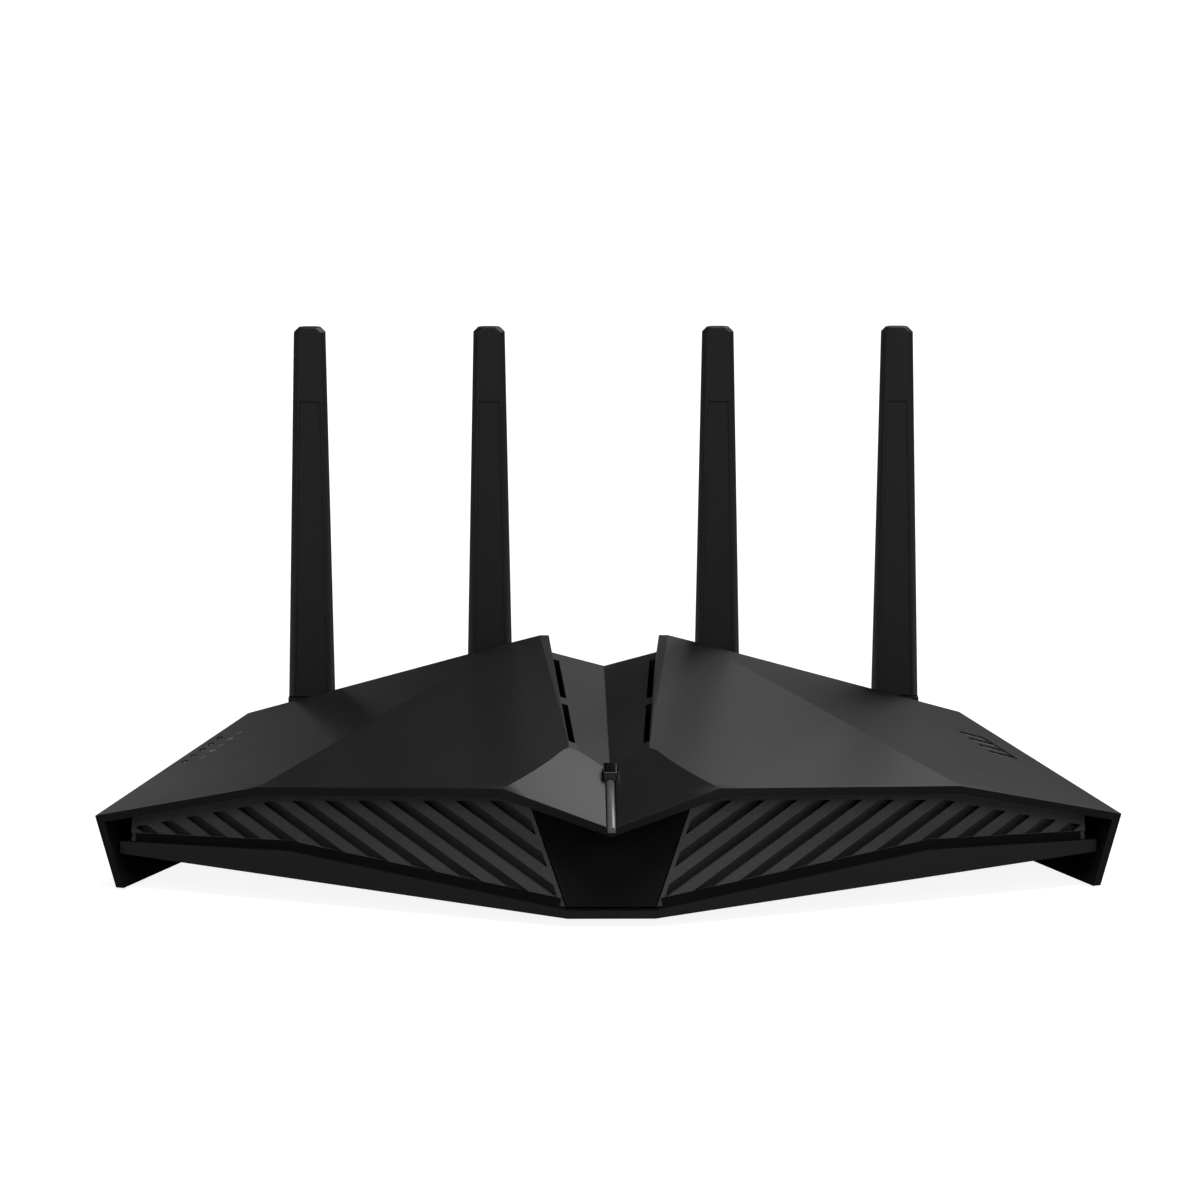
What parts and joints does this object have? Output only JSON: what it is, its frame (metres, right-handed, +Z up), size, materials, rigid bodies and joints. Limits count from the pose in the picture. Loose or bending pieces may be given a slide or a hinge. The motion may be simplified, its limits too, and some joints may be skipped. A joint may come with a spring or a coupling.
{
  "type": "wireless router",
  "caption": "Low faceted black desktop wireless router with a vee-shaped valley nose, louvred front grilles and folding blade antennas at the rear.",
  "frame": {"origin": "bottom centre of the bounding box, on the surface that the rubber feet stand on", "axes": "+X across the case to its right side seen from the front, +Y from the nose to the antennas at the rear, +Z up"},
  "size_m": [0.2746, 0.1812, 0.1402],
  "materials": {
    "satin_black": "fine satin grain",
    "deep_black": "satin",
    "rib_black": "fine grain",
    "smoked_lens": "smoked satin lens",
    "circuit_board": "solder mask",
    "foot_rubber": "matt",
    "steel": "satin",
    "clear_light_guide": "frosted",
    "gloss_black": "high gloss",
    "heatsink_aluminium": "anodised",
    "socket_blue": "satin",
    "antenna_black": "fine satin grain"
  },
  "bodies": {
    "case": {"top_cover": "satin_black", "bottom_shell": "satin_black", "rear_io_panel": "satin_black", "front_centre_panel": "deep_black", "processor": "deep_black", "lan_jack_1": "deep_black", "lan_jack_2": "deep_black", "lan_jack_3": "deep_black", "lan_jack_4": "deep_black", "dc_inlet": "deep_black", "power_switch": "deep_black", "wps_switch": "deep_black", "reset_switch": "deep_black", "right_grille": "rib_black", "left_grille": "rib_black", "right_light_diffuser": "smoked_lens", "left_light_diffuser": "smoked_lens", "right_light_board": "circuit_board", "left_light_board": "circuit_board", "main_board": "circuit_board", "foot_front_left": "foot_rubber", "foot_front_right": "foot_rubber", "foot_rear_left": "foot_rubber", "foot_rear_right": "foot_rubber", "case_screw_1": "steel", "case_screw_2": "steel", "case_screw_3": "steel", "case_screw_4": "steel", "left_radio_shield": "steel", "right_radio_shield": "steel", "usb_port": "steel", "nose_light_pipe": "clear_light_guide", "status_light_guide": "clear_light_guide", "nose_clip": "gloss_black", "emblem": "gloss_black", "processor_heatsink": "heatsink_aluminium", "wan_jack": "socket_blue"},
    "outer_left_knuckle": {"outer_left_antenna_knuckle": "antenna_black", "outer_left_antenna_pin": "steel"},
    "outer_left_blade": {"outer_left_antenna_front": "antenna_black", "outer_left_antenna_back": "antenna_black", "outer_left_antenna_radiator": "circuit_board"},
    "inner_left_knuckle": {"inner_left_antenna_knuckle": "antenna_black", "inner_left_antenna_pin": "steel"},
    "inner_left_blade": {"inner_left_antenna_front": "antenna_black", "inner_left_antenna_back": "antenna_black", "inner_left_antenna_radiator": "circuit_board"},
    "inner_right_knuckle": {"inner_right_antenna_knuckle": "antenna_black", "inner_right_antenna_pin": "steel"},
    "inner_right_blade": {"inner_right_antenna_front": "antenna_black", "inner_right_antenna_back": "antenna_black", "inner_right_antenna_radiator": "circuit_board"},
    "outer_right_knuckle": {"outer_right_antenna_knuckle": "antenna_black", "outer_right_antenna_pin": "steel"},
    "outer_right_blade": {"outer_right_antenna_front": "antenna_black", "outer_right_antenna_back": "antenna_black", "outer_right_antenna_radiator": "circuit_board"},
    "power_button": {"power_button": "deep_black"},
    "wps_button": {"wps_button": "deep_black"},
    "reset_button": {"reset_button": "deep_black"}
  },
  "joints": [
    {"name": "outer_left_swivel", "type": "hinge", "parent": "case", "child": "outer_left_knuckle", "pos_m": [-0.0837, 0.07565, 0.0276], "axis": [0, 1, 0], "range_deg": [-90, 15]},
    {"name": "outer_left_tilt", "type": "hinge", "parent": "outer_left_knuckle", "child": "outer_left_blade", "pos_m": [-0.0837, 0.08505, 0.0276], "axis": [1, 0, 0], "range_deg": [-90, 0]},
    {"name": "inner_left_swivel", "type": "hinge", "parent": "case", "child": "inner_left_knuckle", "pos_m": [-0.0326, 0.07565, 0.0276], "axis": [0, 1, 0], "range_deg": [-15, 15]},
    {"name": "inner_left_tilt", "type": "hinge", "parent": "inner_left_knuckle", "child": "inner_left_blade", "pos_m": [-0.0326, 0.08505, 0.0276], "axis": [1, 0, 0], "range_deg": [-90, 0]},
    {"name": "inner_right_swivel", "type": "hinge", "parent": "case", "child": "inner_right_knuckle", "pos_m": [0.0326, 0.07565, 0.0276], "axis": [0, 1, 0], "range_deg": [-15, 15]},
    {"name": "inner_right_tilt", "type": "hinge", "parent": "inner_right_knuckle", "child": "inner_right_blade", "pos_m": [0.0326, 0.08505, 0.0276], "axis": [1, 0, 0], "range_deg": [-90, 0]},
    {"name": "outer_right_swivel", "type": "hinge", "parent": "case", "child": "outer_right_knuckle", "pos_m": [0.0837, 0.07565, 0.0276], "axis": [0, 1, 0], "range_deg": [-15, 90]},
    {"name": "outer_right_tilt", "type": "hinge", "parent": "outer_right_knuckle", "child": "outer_right_blade", "pos_m": [0.0837, 0.08505, 0.0276], "axis": [1, 0, 0], "range_deg": [-90, 0]},
    {"name": "power_button_press", "type": "slide", "parent": "case", "child": "power_button", "axis": [0, -1, 0], "range_m": [0, 0.002], "stiffness_N_per_m": 1200},
    {"name": "wps_button_press", "type": "slide", "parent": "case", "child": "wps_button", "axis": [0, -1, 0], "range_m": [0, 0.0008], "stiffness_N_per_m": 1500},
    {"name": "reset_button_press", "type": "slide", "parent": "case", "child": "reset_button", "axis": [0, -1, 0], "range_m": [0, 0.0006], "stiffness_N_per_m": 1500}
  ]
}
